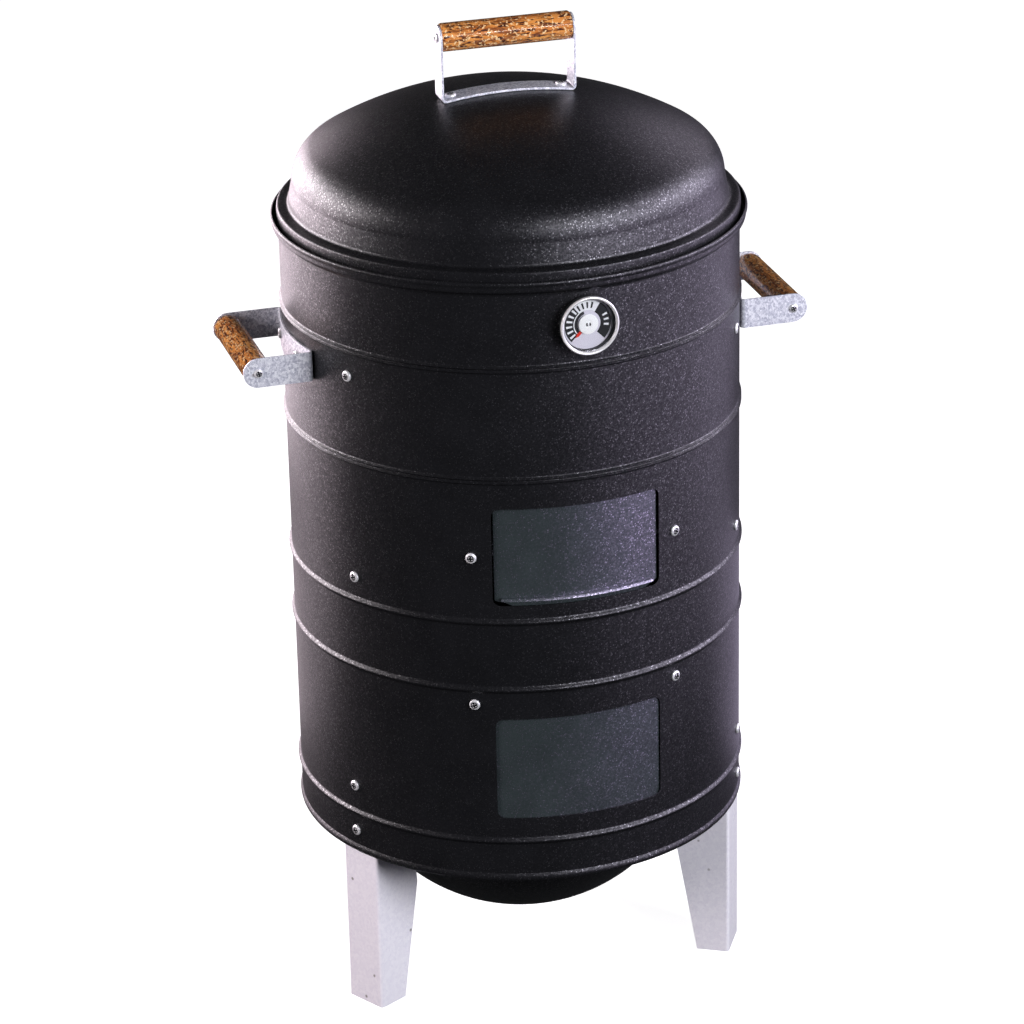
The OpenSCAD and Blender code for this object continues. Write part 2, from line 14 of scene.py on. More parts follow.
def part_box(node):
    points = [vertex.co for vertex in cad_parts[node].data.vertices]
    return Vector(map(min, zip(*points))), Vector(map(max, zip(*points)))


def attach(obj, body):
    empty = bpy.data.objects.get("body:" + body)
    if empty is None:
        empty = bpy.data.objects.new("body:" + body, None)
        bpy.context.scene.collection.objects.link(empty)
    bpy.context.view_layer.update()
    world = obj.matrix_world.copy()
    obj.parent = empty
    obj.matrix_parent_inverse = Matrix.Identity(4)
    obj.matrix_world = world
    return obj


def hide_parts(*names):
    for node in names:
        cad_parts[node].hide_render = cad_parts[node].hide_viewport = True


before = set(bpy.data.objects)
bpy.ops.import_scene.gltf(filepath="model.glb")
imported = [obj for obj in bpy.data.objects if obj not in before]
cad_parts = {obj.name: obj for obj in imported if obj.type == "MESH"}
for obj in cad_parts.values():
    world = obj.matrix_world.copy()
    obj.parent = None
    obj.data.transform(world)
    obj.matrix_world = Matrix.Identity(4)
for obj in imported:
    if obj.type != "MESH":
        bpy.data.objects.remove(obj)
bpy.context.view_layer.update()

MM = 0.001
DRUM, LID = "drum_unit", "lid_unit"

# ---------- sizes, from the frame where it holds them ----------

drum_low, drum_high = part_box("body_shell")
lid_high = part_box("lid_shell")[1]
LIP_FLARE = 6.9 * MM                      # the lip stands this far outside the wall
LIP_HEIGHT = 14 * MM
wall_r = drum_high.x - LIP_FLARE
lip_z = drum_high.z - LIP_HEIGHT
SHEET = 1 * MM
BEAD_W = 8 * MM
BEAD_H = 2.4 * MM
BEAD_STEPS = 8                            # points on each half of a bead
BEAD_HOLD = 1 * MM                        # points beside each bead keep the wall's shading even
SINGLE_BEADS = [39.4 * MM, 187.5 * MM, 252.3 * MM]    # heights above the rim
DOUBLE_BEADS = [385.1 * MM, 486.8 * MM]
DOOR_W = 151.5 * MM
DOOR_CORNER = 7 * MM
DOOR_T = 1 * MM
UPPER_OPENING = (268 * MM, 359 * MM)      # bottom and top above the rim
LOWER_OPENING = (62 * MM, 159 * MM)
DOME_R = 345 * MM
SHOULDER_R = 36.7 * MM
DOME_WALL_R = 191 * MM
dome_centre = Vector((0, 0, lid_high.z - DOME_R))
STRIP_T = 2 * MM
STRIP_GAP = 0.3 * MM
STRIP_BEND = 3.2 * MM
SPIN_STEPS = 288                          # faces round the drum and the lid
EAR_X = 71.2 * MM                         # a door's hinge ears, from its middle
EAR_T = 1.2 * MM
DOOR_UNDER = 3 * MM                       # the upper door's skin, below its CAD node
PAN_RIM_H = 4.6 * MM


# ---------- materials ----------

def socket_value(value):
    """What a socket takes: a colour of three numbers gets its alpha, anything else stays."""
    return (*value, 1) if isinstance(value, tuple) and len(value) == 3 else value


class Nodes:
    """Short calls for building one material's node tree."""

    def __init__(self, name):
        self.material = bpy.data.materials.new(name)
        self.material.use_nodes = True
        self.tree = self.material.node_tree
        self.shader = self.tree.nodes["Principled BSDF"]
        self.straight = self.add("ShaderNodeTexCoord").outputs["Object"]
        tilt = self.add("ShaderNodeMapping", Vector=self.straight)
        tilt.inputs["Rotation"].default_value = (0.785, 0.615, 0.4)    # keeps the lattice off the walls
        self.place = tilt.outputs["Vector"]

    def add(self, kind, settings=None, **inputs):
        node = self.tree.nodes.new(kind)
        for key, value in (settings or {}).items():
            setattr(node, key, value)
        for key, value in inputs.items():
            self.put(node, key.replace("_", " "), value)
        return node

    def put(self, node, key, value):
        target = node.inputs[int(key)] if key.isdigit() else node.inputs[key]
        if isinstance(value, bpy.types.NodeSocket):
            self.tree.links.new(value, target)
        else:
            target.default_value = socket_value(value)

    def stretched(self, scale):
        node = self.add("ShaderNodeMapping", Vector=self.straight)
        node.inputs["Scale"].default_value = scale
        return node.outputs["Vector"]

    def noise(self, scale, detail=2, roughness=0.5, vector=None):
        node = self.add("ShaderNodeTexNoise", Vector=vector or self.place, Scale=scale, Detail=detail)
        node.inputs["Roughness"].default_value = roughness
        return node.outputs["Fac"]

    def cells(self, scale, vector=None):
        """One random number from 0 to 1 for each cell."""
        node = self.add("ShaderNodeTexVoronoi", Vector=vector or self.place, Scale=scale)
        return self.add("ShaderNodeSeparateColor", Color=node.outputs["Color"]).outputs[0]

    def nearness(self, scale, radius):
        """1 near the middle of each cell, 0 outside the radius."""
        node = self.add("ShaderNodeTexVoronoi", Vector=self.place, Scale=scale)
        return self.spread(node.outputs["Distance"], radius, radius * 0.5)

    def math(self, operation, first, second=0.0):
        node = self.add("ShaderNodeMath", {"operation": operation})
        self.put(node, "0", first)
        self.put(node, "1", second)
        return node.outputs[0]

    def spread(self, value, low, high, to_low=0.0, to_high=1.0):
        node = self.add("ShaderNodeMapRange", Value=value)
        for key, number in (("From Min", low), ("From Max", high), ("To Min", to_low), ("To Max", to_high)):
            node.inputs[key].default_value = number
        return node.outputs["Result"]

    def specks(self, scale, share, radius=0.45):
        """Round specks: the share of the cells that have one, each about radius cells wide."""
        chosen = self.spread(self.cells(scale), 1 - share, 1 - share + 0.01)
        return self.math("MULTIPLY", chosen, self.nearness(scale, radius))

    def blend(self, share, first, second):
        node = self.add("ShaderNodeMix", {"data_type": "RGBA"})
        self.put(node, "0", share)
        self.put(node, "6", first)
        self.put(node, "7", second)
        return node.outputs[2]

    def bump(self, height, strength, distance, under=None):
        node = self.add("ShaderNodeBump", Height=height, Strength=strength, Distance=distance)
        if under is not None:
            self.put(node, "Normal", under)
        return node.outputs["Normal"]

    def finish(self, **inputs):
        for key, value in inputs.items():
            self.put(self.shader, key.replace("_", " "), value)
        return self.material


def powder_coat(name, dark, fleck, share, roughness, grain, gloss, tint=(1, 1, 1)):
    """Satin powder coat: a dark skin with an orange peel, and grains that glint in the light.

    The share is that of the cells with a fleck, the grain is the peel's depth, the tint colours reflections.
    """
    n = Nodes(name)
    grains = n.math("POWER", n.cells(820), 2.0)
    flecks = n.math("MAXIMUM", n.specks(760, share, 0.55), n.specks(430, share * 0.25, 0.36))
    cloud = n.spread(n.noise(9, 3), 0.3, 0.7, 0.9, 1.1)
    peel = n.noise(780, 3, 0.7)
    shade = n.blend(n.spread(n.noise(35, 4), 0.35, 0.65), tuple(0.8 * c for c in dark), dark)
    colour = n.blend(flecks, shade, fleck)
    rough = n.math("MULTIPLY", cloud, n.spread(peel, 0.25, 0.75, roughness * 1.1, roughness * 0.9))
    ground = n.spread(grains, 0, 1, gloss * 0.6, gloss * 1.9)
    n.shader.inputs["Specular Tint"].default_value = (*tint, 1)
    return n.finish(Base_Color=colour, Roughness=rough, Normal=n.bump(peel, grain, 0.4 * MM),
        Specular_IOR_Level=n.math("ADD", ground, n.math("MULTIPLY", flecks, gloss * 4.5)))


def galvanised(name, light, dull, metal, roughness, spangle, specks=0.0):
    """Zinc-coated sheet: a spangle of flat crystals, soft stains and a few dark pits."""
    n = Nodes(name)
    crystals = n.cells(spangle, n.stretched((1, 1, 0.8)))
    fleck = n.cells(spangle * 3.1)
    both = n.math("ADD", n.math("MULTIPLY", crystals, 0.6), n.math("MULTIPLY", fleck, 0.4))
    mottle = n.spread(both, 0.15, 0.85)
    stain = n.spread(n.noise(14, 5, 0.6), 0.35, 0.7)
    colour = n.blend(mottle, dull, light)
    colour = n.blend(n.math("MULTIPLY", stain, 0.25), colour, dull)
    if specks:
        pits = n.math("MULTIPLY", n.specks(150, specks, 0.28), 0.85)
        colour = n.blend(pits, colour, (0.16, 0.13, 0.12))
    rough = n.spread(mottle, 0.0, 1.0, roughness * 1.25, roughness * 0.75)
    normal = n.bump(n.noise(900, 2), 0.12, 0.2 * MM)
    return n.finish(Base_Color=colour, Metallic=metal, Roughness=rough, Normal=normal)


def turned_wood(name, along):
    """Oiled hardwood turned on a lathe: short dark pores in a streaky orange-brown ground under lacquer, with
    painted highlight flecks.
    """
    n = Nodes(name)
    fine = [1.0, 1.0, 1.0]
    fine[along] = 0.2
    pull = n.stretched(fine)
    streaks = n.noise(300, 4, 0.65, pull)
    bands = n.noise(110, 3, 0.55, pull)
    pores = n.noise(520, 2, 0.6, n.stretched([0.25 if axis == along else 1.0 for axis in range(3)]))
    ground = n.blend(n.spread(bands, 0.3, 0.7), (0.60, 0.18, 0.035), (0.88, 0.38, 0.09))
    ground = n.blend(n.spread(streaks, 0.40, 0.52), (0.22, 0.06, 0.016), ground)
    colour = n.blend(n.spread(pores, 0.52, 0.60), ground, (0.07, 0.020, 0.012))
    # Light orange flecks at random: painted highlights, glints of the lacquer put in the colour.
    colour = n.blend(n.spread(n.noise(400, 3), 0.56, 0.64), colour, (0.98, 0.66, 0.34))
    normal = n.bump(n.math("SUBTRACT", streaks, n.spread(pores, 0.58, 0.7)), 0.18, 0.3 * MM)
    n.shader.inputs["Coat Weight"].default_value = 0.8
    n.shader.inputs["Coat Roughness"].default_value = 0.08
    return n.finish(Base_Color=colour, Roughness=n.spread(streaks, 0.2, 0.8, 0.45, 0.28), Normal=normal)


def polished(name, colour, roughness, scratches, metal):
    """Bright plated metal with faint wipe marks."""
    n = Nodes(name)
    marks = n.noise(260, 4, 0.7, n.stretched((1, 1, 6)))
    film = n.spread(n.noise(40, 3), 0.3, 0.7, roughness * 0.8, roughness * 1.5)
    tone = n.blend(n.spread(marks, 0.4, 0.7, 0, 0.35), colour, tuple(0.78 * c for c in colour))
    return n.finish(Base_Color=tone, Metallic=metal, Roughness=film,
        Normal=n.bump(marks, scratches, 0.1 * MM))


def plain_print(name, colour, roughness=0.45):
    """Printed or painted skin with a faint grain."""
    n = Nodes(name)
    grain = n.noise(1500, 2)
    tone = n.blend(n.spread(grain, 0.3, 0.7, 0, 0.2), colour, tuple(0.8 * c for c in colour))
    return n.finish(Base_Color=tone, Roughness=n.spread(grain, 0.2, 0.8, roughness, roughness * 1.2),
        Normal=n.bump(grain, 0.05, 0.05 * MM))


def clear_lens(name):
    """Flat glass that shows the dial and takes a soft reflection."""
    material = bpy.data.materials.new(name)
    material.use_nodes = True
    tree = material.node_tree
    tree.nodes.remove(tree.nodes["Principled BSDF"])
    through = tree.nodes.new("ShaderNodeBsdfTransparent")
    mirror = tree.nodes.new("ShaderNodeBsdfGlossy")
    mirror.inputs["Roughness"].default_value = 0.03
    share = tree.nodes.new("ShaderNodeFresnel")
    share.inputs["IOR"].default_value = 1.45
    mix = tree.nodes.new("ShaderNodeMixShader")
    tree.links.new(share.outputs["Fac"], mix.inputs[0])
    tree.links.new(through.outputs["BSDF"], mix.inputs[1])
    tree.links.new(mirror.outputs["BSDF"], mix.inputs[2])
    tree.links.new(mix.outputs["Shader"], tree.nodes["Material Output"].inputs["Surface"])
    return material


black_coat = powder_coat("black_coat", (0.0070, 0.0072, 0.0083), (0.007, 0.007, 0.0083),
    share=0.14, roughness=0.36, grain=0.5, gloss=0.42)
door_coat = powder_coat("door_coat", (0.026, 0.036, 0.036), (0.03, 0.036, 0.04),
    share=0.14, roughness=0.34, grain=0.5, gloss=1.6, tint=(0.88, 0.80, 1))
pan_coat = powder_coat("pan_coat", (0.006, 0.006, 0.007), (0.01, 0.01, 0.011),
    share=0.12, roughness=0.36, grain=0.25, gloss=0.4)
leg_zinc = galvanised("leg_zinc", (0.93, 0.90, 0.95), (0.82, 0.79, 0.86),
    metal=0.05, roughness=0.5, spangle=420, specks=0.035)
strip_zinc = galvanised("strip_zinc", (0.95, 0.96, 1.0), (0.36, 0.37, 0.45),
    metal=0.2, roughness=0.42, spangle=620, specks=0.03)
inner_zinc = galvanised("inner_zinc", (0.70, 0.71, 0.74), (0.45, 0.46, 0.50),
    metal=0.7, roughness=0.36, spangle=300)
bolt_zinc = polished("bolt_zinc", (0.95, 0.95, 0.96), roughness=0.28, scratches=0.05, metal=0.5)
wire_chrome = polished("wire_chrome", (0.80, 0.81, 0.83), roughness=0.16, scratches=0.05, metal=0.9)
gauge_chrome = polished("gauge_chrome", (0.94, 0.95, 0.97), roughness=0.14, scratches=0.02, metal=0.8)
wood_x = turned_wood("wood_x", 0)
wood_y = turned_wood("wood_y", 1)
ring_chrome = polished("ring_chrome", (0.97, 0.96, 0.96), roughness=0.2, scratches=0.02, metal=0.45)
dial_silver = plain_print("dial_silver", (0.72, 0.70, 0.78))
dial_black = plain_print("dial_black", (0.008, 0.010, 0.010))
dial_white = plain_print("dial_white", (0.90, 0.91, 0.93))
hub_silver = plain_print("hub_silver", (0.97, 0.98, 0.97), 0.3)
# Dark material for the cross recesses of bolts and screws: painted shade where the recess lies in shadow.
recess_painted_shade = plain_print("recess_painted_shade", (0.02, 0.02, 0.022), 0.5)
pointer_paint = plain_print("pointer_paint", (0.75, 0.045, 0.025), 0.3)
lens_glass = clear_lens("lens_glass")


# ---------- mesh helpers ----------

def put_piece(name, mesh, material, body, nodes=(), sharp=32, second=None):
    """Makes an object of a finished mesh, shades it, and ties it to its body and CAD nodes.

    With a second material, the mesh's own material indices say which faces take it.
    """
    for face in mesh.polygons:
        face.use_smooth = True
    mesh.set_sharp_from_angle(angle=math.radians(sharp))
    spots = [face.material_index for face in mesh.polygons] if second else None
    mesh.materials.clear()
    mesh.materials.append(material)
    if second:
        mesh.materials.append(second)
        mesh.polygons.foreach_set("material_index", spots)
    piece = bpy.data.objects.new(name, mesh)
    bpy.context.scene.collection.objects.link(piece)
    even = piece.modifiers.new("even", "WEIGHTED_NORMAL")
    even.keep_sharp = True
    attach(piece, body)
    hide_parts(*nodes)


def raw_mesh(name, bm):
    """The bmesh as a mesh."""
    mesh = bpy.data.meshes.new(name)
    bm.to_mesh(mesh)
    bm.free()
    return mesh


def mesh_of(name, bm):
    """The bmesh as a mesh, its doubles merged and its normals outward."""
    bmesh.ops.remove_doubles(bm, verts=bm.verts, dist=1e-6)
    bmesh.ops.recalc_face_normals(bm, faces=bm.faces)
    return raw_mesh(name, bm)


def evaluated_mesh(name, mesh, set_up):
    """The mesh after the modifiers that set_up adds to a scratch object."""
    scratch = bpy.data.objects.new(name + "_scratch", mesh)
    bpy.context.scene.collection.objects.link(scratch)
    set_up(scratch)
    bpy.context.view_layer.update()
    graph = bpy.context.evaluated_depsgraph_get()
    result = bpy.data.meshes.new_from_object(scratch.evaluated_get(graph))
    bpy.data.objects.remove(scratch)
    result.name = name
    return result


def add_bevel(piece, width, angle):
    """Softens the edges that are sharper than an angle in degrees."""
    bevel = piece.modifiers.new("edges", "BEVEL")
    bevel.width = width
    bevel.segments = 2
    bevel.limit_method = "ANGLE"
    bevel.angle_limit = math.radians(angle)


def bevelled(name, mesh, width, angle=40):
    return evaluated_mesh(name, mesh, lambda scratch: add_bevel(scratch, width, angle))


def cut_away(name, mesh, cutter_mesh):
    """The mesh with the cutter's volume taken out."""
    cutter = bpy.data.objects.new("cutter", cutter_mesh)
    bpy.context.scene.collection.objects.link(cutter)

    def set_up(scratch):
        cut = scratch.modifiers.new("cut", "BOOLEAN")
        cut.operation = "DIFFERENCE"
        cut.solver = "EXACT"
        cut.object = cutter
    result = evaluated_mesh(name, mesh, set_up)
    bpy.data.objects.remove(cutter)
    return result


def lathe(profile, segments=96, closed=True, turn=None):
    """A solid spun round Z from (radius, height) points; turn then places it."""
    bm = bmesh.new()
    rings = []
    for r, z in profile:
        if r < 1e-6:
            rings.append([bm.verts.new((0, 0, z))])
        else:
            steps = [2 * math.pi * i / segments for i in range(segments)]
            rings.append([bm.verts.new((r * math.cos(a), r * math.sin(a), z)) for a in steps])
    pairs = list(zip(rings, rings[1:] + rings[:1])) if closed else list(zip(rings, rings[1:]))
    for one, other in pairs:
        for i in range(segments):
            j = (i + 1) % segments
            corners = [one[i % len(one)], one[j % len(one)], other[j % len(other)], other[i % len(other)]]
            corners = list(dict.fromkeys(corners))
            if len(corners) > 2:
                bm.faces.new(corners)
    if turn is not None:
        bmesh.ops.transform(bm, matrix=turn, verts=bm.verts)
    return bm


def softened(path, rounds=2):
    """Cuts the corners of an open path, its ends kept."""
    for _ in range(rounds):
        cut = [path[0]]
        for a, b in zip(path, path[1:]):
            cut.append(tuple(0.75 * p + 0.25 * q for p, q in zip(a, b)))
            cut.append(tuple(0.25 * p + 0.75 * q for p, q in zip(a, b)))
        path = cut + [path[-1]]
    return path


def sheet_profile(path, thickness):
    """Closed profile of a spun sheet: the path is one face, the other lies a thickness away."""
    inner = []
    for i, point in enumerate(path):
        before, after = path[max(i - 1, 0)], path[min(i + 1, len(path) - 1)]
        dr, dz = after[0] - before[0], after[1] - before[1]
        size = math.hypot(dr, dz)
        inner.append((max(point[0] - thickness * dz / size, 0), point[1] + thickness * dr / size))
    return path + inner[::-1]


def arc_points(centre, r, start, end, steps):
    """Points on an arc from one angle to another, in degrees."""
    angles = [math.radians(start + (end - start) * i / steps) for i in range(steps + 1)]
    return [(centre[0] + r * math.cos(a), centre[1] + r * math.sin(a)) for a in angles]


def close_sweep(bm, rings):
    """Joins rings of equal length into a closed solid, its first and last ring capped."""
    for one, other in zip(rings, rings[1:]):
        for i in range(len(one)):
            j = (i + 1) % len(one)
            bm.faces.new((one[i], one[j], other[j], other[i]))
    bm.faces.new(rings[0])
    bm.faces.new(rings[-1][::-1])


def solid_prism(outline, depth, place):
    """A prism of a closed flat outline, from z = 0 down to -depth, put in place by a matrix."""
    bm = bmesh.new()
    top = [bm.verts.new((x, y, 0)) for x, y in outline]
    bottom = [bm.verts.new((x, y, -depth)) for x, y in outline]
    bm.faces.new(top)
    bm.faces.new(bottom[::-1])
    for i in range(len(outline)):
        j = (i + 1) % len(outline)
        bm.faces.new((top[j], top[i], bottom[i], bottom[j]))
    bmesh.ops.transform(bm, matrix=place, verts=bm.verts)
    return bm


def rounded_outline(width, height, r, steps=8):
    """Outline of a rounded rectangle centred on the origin."""
    x, y = width / 2 - r, height / 2 - r
    outline = arc_points((x, y), r, 0, 90, steps) + arc_points((-x, y), r, 90, 180, steps)
    return outline + arc_points((-x, -y), r, 180, 270, steps) + arc_points((x, -y), r, 270, 360, steps)


def wall_point(r, angle, z):
    """A point at a radius and an angle in degrees from the front, positive to the right."""
    a = math.radians(angle)
    return Vector((r * math.sin(a), -r * math.cos(a), z))


def facing(place, out, spin=0.0):
    """A matrix that puts +Z along out at a place."""
    turn = out.to_track_quat("Z", "Y").to_matrix().to_4x4()
    return Matrix.Translation(place) @ turn @ Matrix.Rotation(spin, 4, "Z")


def solids_of(node):
    """The separate solids of a CAD node, each as a list of its points, in the same order each run."""
    bm = bmesh.new()
    bm.from_mesh(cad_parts[node].data)
    bmesh.ops.remove_doubles(bm, verts=bm.verts, dist=2e-6)
    left, found = set(bm.verts), []
    for first in bm.verts:
        if first not in left:
            continue
        left.remove(first)
        group, edge = [], [first]
        while edge:
            vert = edge.pop()
            group.append(vert.co.copy())
            for link in vert.link_edges:
                other = link.other_vert(vert)
                if other in left:
                    left.remove(other)
                    edge.append(other)
        found.append(group)
    bm.free()
    return sorted(found, key=lambda g: tuple(round(x, 3) for x in sum(g, Vector()) / len(g)))


# ---------- drum and lid ----------

def bead_points(z, double):
    """One rolled bead on the wall: a single round ridge, or two ridges with a groove between them."""
    points = [(wall_r, z - BEAD_W / 2 - BEAD_HOLD)]
    for i in range(2 * BEAD_STEPS + 1):
        a = i / BEAD_STEPS - 1
        if double:
            rise = (1 - a * a) * (0.55 - 0.45 * math.cos(2 * math.pi * a))
        else:
            rise = (1 + math.cos(math.pi * a)) / 2
        points.append((wall_r + BEAD_H * rise, z + a * BEAD_W / 2))
    return points + [(wall_r, z + BEAD_W / 2 + BEAD_HOLD)]


def opening_cutter(opening):
    bottom, top = (drum_low.z + h for h in opening)
    outline = rounded_outline(DOOR_W, top - bottom, DOOR_CORNER)
    place = facing(Vector((0, -wall_r - 0.02, (bottom + top) / 2)), Vector((0, -1, 0)))
    return solid_prism(outline, 0.05, place)


def make_drum():
    rim = [(wall_r + 0.7 * MM, 0), (wall_r + 1.7 * MM, 1.5 * MM)]
    rim += [(wall_r + 1.7 * MM, 4 * MM), (wall_r, 7 * MM)]
    path = softened([(r, drum_low.z + z) for r, z in rim])
    beads = sorted([(h, False) for h in SINGLE_BEADS] + [(h, True) for h in DOUBLE_BEADS])
    for height, double in beads:
        path += bead_points(drum_low.z + height, double)
    lip = [(0, 0), (0.7, 2), (2.4, 3.4), (4.6, 4.2), (5.7, 5.4), (5.8, 9.5), (6.6, 10.6), (6.9, 12)]
    lip += [(6.4, 13.4), (5.2, 14)]
    path += softened([(wall_r + out * MM, lip_z + up * MM) for out, up in lip])
    mesh = mesh_of("drum", lathe(sheet_profile(path, SHEET), SPIN_STEPS))
    for opening in (UPPER_OPENING, LOWER_OPENING):
        mesh = cut_away("drum", mesh, mesh_of("cutter", opening_cutter(opening)))
    mesh = bevelled("drum", mesh, 0.3 * MM, 60)
    put_piece("drum_shell", mesh, black_coat, DRUM, ["body_shell"], 40)


def make_lid():
    meet = math.asin((DOME_WALL_R - SHOULDER_R) / (DOME_R - SHOULDER_R))
    centre_z = dome_centre.z + (DOME_R - SHOULDER_R) * math.cos(meet)
    skirt = [(1, 5.2), (1, 19.4), (0.3, 21), (-1.4, 21.6), (-7.6, 22), (-9.2, 22.8), (-10, 24.8)]
    path = softened([(wall_r + out * MM, lip_z + up * MM) for out, up in skirt])
    path.append((DOME_WALL_R + 2.4 * MM, lip_z + 29 * MM))
    path += arc_points((DOME_WALL_R - SHOULDER_R, centre_z), SHOULDER_R, 0, 90 - math.degrees(meet), 22)
    path += arc_points((0, dome_centre.z), DOME_R, 90 - math.degrees(meet), 90, 30)[1:]
    path[-1] = (0, lid_high.z)
    mesh = mesh_of("lid", lathe(sheet_profile(path, SHEET), SPIN_STEPS))
    put_piece("lid_dome", mesh, black_coat, LID, ["lid_shell"], 40)


# ---------- handles ----------

def handle_path(circle_r, half_span, reach, fillet):
    """Centreline of a handle strip as (out, across): arm, bend, curved base, bend, arm."""
    bend_across = half_span - fillet
    bend_out = math.sqrt((circle_r + fillet) ** 2 - bend_across ** 2)
    lean = math.degrees(math.asin(bend_across / (circle_r + fillet)))
    arm = [(reach + (bend_out - reach) * i / 10, half_span) for i in range(11)]
    bend = arc_points((bend_out, bend_across), fillet, 90, 180 + lean, 8)
    base = arc_points((0, 0), circle_r, lean, -lean, 32)
    half = arm + bend[1:]
    return half + base[1:-1] + [(out, -across) for out, across in half[::-1]]


def strip_mesh(name, path, width, thickness, lay):
    """A strip swept along a flat path, with round ends; lay turns (out, across, side) into a point."""
    ends = [width / 2 * (1 - math.cos(math.radians(a))) for a in range(10, 91, 10)]
    lengths = [0.0]
    for a, b in zip(path, path[1:]):
        lengths.append(lengths[-1] + math.dist(a, b))
    total = lengths[-1]

    def at(s):
        i = max(k for k in range(len(path) - 1) if lengths[k] <= s + 1e-12)
        share = (s - lengths[i]) / (lengths[i + 1] - lengths[i])
        return [a + (b - a) * share for a, b in zip(path[i], path[i + 1])]

    middle = [s for s in lengths if ends[-1] + 1e-4 < s < total - ends[-1] - 1e-4]
    stops = ends + middle + [total - s for s in ends[::-1]]
    bm = bmesh.new()
    rings = []
    for s in stops:
        before, after = at(max(s - 2e-4, 0)), at(min(s + 2e-4, total))
        dx, dy = after[0] - before[0], after[1] - before[1]
        size = math.hypot(dx, dy)
        normal = (-dy / size, dx / size)
        inset = max(width / 2 - min(s, total - s), 0)
        half = math.sqrt((width / 2) ** 2 - inset ** 2)
        point = at(s)
        ring = []
        for n, w in ((1, 1), (1, -1), (-1, -1), (-1, 1)):
            out = point[0] + normal[0] * n * thickness / 2
            across = point[1] + normal[1] * n * thickness / 2
            ring.append(bm.verts.new(lay(out, across, w * half)))
        rings.append(ring)
    close_sweep(bm, rings)
    return bevelled(name, mesh_of(name, bm), 0.35 * MM)


def make_side_bracket(side, name, node):
    low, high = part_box(node)
    middle_z = (low.z + high.z) / 2
    width = high.z - low.z
    half_span = high.y - STRIP_T / 2
    reach = max(abs(low.x), abs(high.x))
    path = handle_path(wall_r + STRIP_GAP + STRIP_T / 2, half_span, reach, STRIP_BEND)

    def lay(out, across, sideways):
        return (side * out, across, middle_z + sideways)
    mesh = strip_mesh(name, path, width, STRIP_T, lay)
    put_piece(name, mesh, strip_zinc, DRUM, [node])


def make_lid_bracket():
    low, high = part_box("lid_handle_bracket")
    half_span, reach = high.x - STRIP_T / 2, high.z - dome_centre.z
    path = handle_path(DOME_R + STRIP_GAP + STRIP_T / 2, half_span, reach, STRIP_BEND)

    def lay(out, across, sideways):
        return (across, sideways, dome_centre.z + out)
    mesh = strip_mesh("lid_bracket", path, high.y - low.y, STRIP_T, lay)
    put_piece("lid_bracket", mesh, strip_zinc, LID, ["lid_handle_bracket"])


grips = bpy.data.collections.new("grips")


def make_grip(name, node, body, material):
    """A turned grip along the longest side of its CAD node, added to the grips collection."""
    low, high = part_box(node)
    size = high - low
    axis = max(range(3), key=lambda i: size[i])
    half, r = size[axis] / 2, min(size) / 2
    rim = 2.2 * MM
    profile = [(0, -half)] + arc_points((r - rim, -half + rim), rim, -90, 0, 7)
    profile += [(r, half * (i / 5 - 1)) for i in range(1, 10)]
    profile += arc_points((r - rim, half - rim), rim, 0, 90, 7) + [(0, half)]
    profile = [(q, max(-half, min(half, h))) for q, h in profile]
    out = Vector([1.0 if i == axis else 0.0 for i in range(3)])
    bm = lathe(profile, 72, False, facing((low + high) / 2, out))
    put_piece(name, mesh_of(name, bm), material, body, [node], 30)
    grips.objects.link(bpy.data.objects[name])


# ---------- fasteners ----------

def head_mesh(name, r, h, shank_r, length):
    """A pan-head screw along Z, its seat at z = 0. Its cross recess takes the second material, a painted
    shade.
    """
    bends = [math.radians(a) for a in range(12, 90, 13)]
    crown = [(r * math.cos(a), h * (0.3 + 0.7 * math.sin(a))) for a in bends]
    profile = [(0, -length), (shank_r * 0.8, -length), (shank_r, -length + 0.5 * MM), (shank_r, 0)]
    profile += [(r * 0.96, 0), (r, 0.15 * h)] + crown + [(0, h)]
    body = mesh_of(name, lathe(profile, 40, False))
    for quarter in (0, 1):
        slot = bmesh.new()
        for vert in bmesh.ops.create_cube(slot, size=1)["verts"]:
            narrow, height = (0.55, 0.35) if vert.co.z < 0 else (1.0, 1.3)
            x, y = vert.co.x * 1.3 * r * narrow, vert.co.y * 0.40 * r * narrow
            vert.co = Vector((x, y, h * height))
        turn = Matrix.Rotation(quarter * math.pi / 2, 3, "Z")
        bmesh.ops.rotate(slot, verts=slot.verts, cent=(0, 0, 0), matrix=turn)
        body = cut_away(name, body, mesh_of("slot", slot))
    for face in body.polygons:
        middle = face.center
        # Faces down in the cross recess take the painted shade.
        inside = math.hypot(middle.x, middle.y) < 0.70 * r and 0.2 * h < middle.z < 0.90 * h
        face.material_index = 1 if inside else 0
    return body


bolt_head = head_mesh("bolt_head", 4.9 * MM, 2.8 * MM, 2.5 * MM, 9 * MM)
screw_head = head_mesh("screw_head", 4.2 * MM, 2.4 * MM, 1.6 * MM, 24 * MM)


def make_fasteners(name, node, body, model, outward):
    """Puts a detailed fastener over each solid of a CAD node, its head's top where the solid's is."""
    bm = bmesh.new()
    top = max(v.co.z for v in model.vertices)
    for i, solid in enumerate(solids_of(node)):
        middle = sum(solid, Vector()) / len(solid)
        out = outward(middle).normalized()
        across = out.orthogonal().normalized()
        third = out.cross(across)
        spans = [[p.dot(axis) for p in solid] for axis in (across, third)]
        seat = out * (max(p.dot(out) for p in solid) - top)
        seat += across * (min(spans[0]) + max(spans[0])) / 2 + third * (min(spans[1]) + max(spans[1])) / 2
        copy = model.copy()
        copy.transform(facing(seat, out, 0.35 + 1.3 * i))
        bm.from_mesh(copy)
        bpy.data.meshes.remove(copy)
    put_piece(name, raw_mesh(name, bm), bolt_zinc, body, [node], 35, recess_painted_shade)


def from_axis(point):
    return Vector((point.x, point.y, 0))


def from_dome(point):
    return point - dome_centre


# ---------- legs ----------

